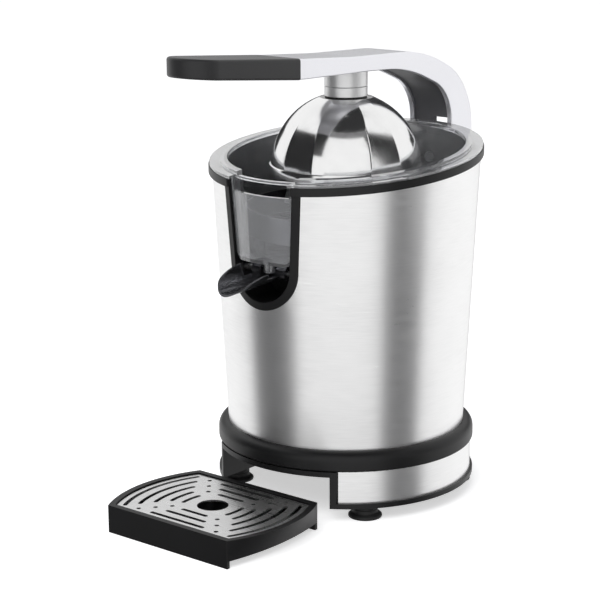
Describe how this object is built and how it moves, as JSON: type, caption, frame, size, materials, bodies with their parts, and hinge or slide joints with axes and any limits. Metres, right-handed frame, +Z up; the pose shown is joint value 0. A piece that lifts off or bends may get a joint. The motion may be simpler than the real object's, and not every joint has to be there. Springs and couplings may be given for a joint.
{
  "type": "lever citrus juicer",
  "caption": "Free-standing lever citrus press: tapered steel body on a round base, clear juice bowl with spout, hinged arm with a domed hood, and a loose drip tray with a slotted grid.",
  "frame": {"origin": "under the middle of the whole object's box, on the counter that the feet and the tray stand on; the body's vertical axis is at x 0, y 0.0301", "axes": "+Z up, -Y to the front where the spout and the tray are, +Y to the hinge, +X to the right of someone who looks towards +Y"},
  "size_m": [0.18, 0.2906, 0.3],
  "materials": {
    "black_moulding": "satin",
    "grey_moulding": "satin",
    "clear_moulding": "clear",
    "dark_gloss": "gloss",
    "gear_plastic": "natural",
    "soft_grip": "soft touch",
    "black_rubber": "matt",
    "brushed_sheet": "brushed",
    "polished_sheet": "polished",
    "plain_steel": "plain",
    "cast_silver": "satin silver",
    "laminations": "plain",
    "bronze": "plain",
    "copper": "enamelled"
  },
  "bodies": {
    "body": {"base_shell": "black_moulding", "base_band": "brushed_sheet", "base_flange": "black_moulding", "rubber_feet": "black_rubber", "base_screws": "plain_steel", "floor_plate": "black_moulding", "cord_gland": "black_rubber", "body_sleeve": "brushed_sheet", "rim_trim": "black_moulding", "body_core": "black_moulding", "juice_bowl": "clear_moulding", "strainer": "plain_steel", "spout_pins": "plain_steel", "plate_posts": "plain_steel", "gear_plate": "plain_steel", "plate_screws": "plain_steel", "gear_cover": "black_moulding", "spindle_bushes": "bronze", "spindle_seal": "black_rubber", "idler_axle": "plain_steel", "press_spring": "plain_steel", "micro_switch": "black_moulding", "switch_bracket": "plain_steel", "motor_top_cap": "plain_steel", "motor_bottom_cap": "plain_steel", "motor_stator": "laminations", "motor_windings": "copper", "motor_bushes": "bronze", "hinge_bracket": "cast_silver", "bracket_screws": "plain_steel", "hinge_washers": "bronze"},
    "arm": {"arm_shell": "cast_silver", "arm_liner": "grey_moulding", "grip": "soft_grip", "boss_collar": "brushed_sheet", "hinge_pin": "plain_steel"},
    "hood": {"hood_dome": "polished_sheet", "hood_collar": "brushed_sheet", "hood_gasket": "black_rubber", "hood_pin": "plain_steel", "hood_nut": "plain_steel"},
    "press": {"thrust_cup": "gear_plastic"},
    "reamer": {"spindle": "plain_steel", "output_gear": "gear_plastic", "reamer_cone": "plain_steel"},
    "idler": {"idler_gear": "gear_plastic"},
    "rotor": {"motor_rotor": "laminations", "motor_pinion": "bronze"},
    "spout": {"pouring_spout": "dark_gloss"},
    "tray": {"drip_tray": "black_moulding"},
    "grid": {"tray_grid": "brushed_sheet"}
  },
  "joints": [
    {"name": "arm_lift", "type": "hinge", "parent": "body", "child": "arm", "pos_m": [0, 0.1332, 0.2202], "axis": [-1, 0, 0], "range_deg": [0, 75]},
    {"name": "hood_twist", "type": "hinge", "parent": "arm", "child": "hood", "pos_m": [0, 0.0301, 0.2622], "axis": [0, 0, 1], "range_deg": [0, 60]},
    {"name": "press_slide", "type": "slide", "parent": "body", "child": "press", "axis": [0, 0, 1], "range_m": [-0.003, 0], "stiffness_N_per_m": 3000, "springref_m": 0.01, "deforming": ["press_spring"]},
    {"name": "reamer_spin", "type": "hinge", "parent": "press", "child": "reamer", "pos_m": [0, 0.0301, 0.1112], "axis": [0, 0, 1], "continuous": true},
    {"name": "idler_spin", "type": "hinge", "parent": "body", "child": "idler", "pos_m": [0.02323, 0.05458, 0.1082], "axis": [0, 0, 1], "continuous": true},
    {"name": "rotor_spin", "type": "hinge", "parent": "body", "child": "rotor", "pos_m": [0, 0.0751, 0.0682], "axis": [0, 0, 1], "continuous": true},
    {"name": "spout_tilt", "type": "hinge", "parent": "body", "child": "spout", "pos_m": [0, -0.0429, 0.1582], "axis": [-1, 0, 0], "range_deg": [0, 25]},
    {"name": "tray_slide", "type": "slide", "parent": "body", "child": "tray", "axis": [0, -1, 0], "range_m": [-0.012, 0.05]},
    {"name": "grid_lift", "type": "slide", "parent": "tray", "child": "grid", "axis": [0, 0, 1], "range_m": [0, 0.03]}
  ],
  "couplings": [
    {"joint": "idler_spin", "follows": "reamer_spin", "ratio": -2.8571},
    {"joint": "rotor_spin", "follows": "reamer_spin", "ratio": 14.857}
  ]
}
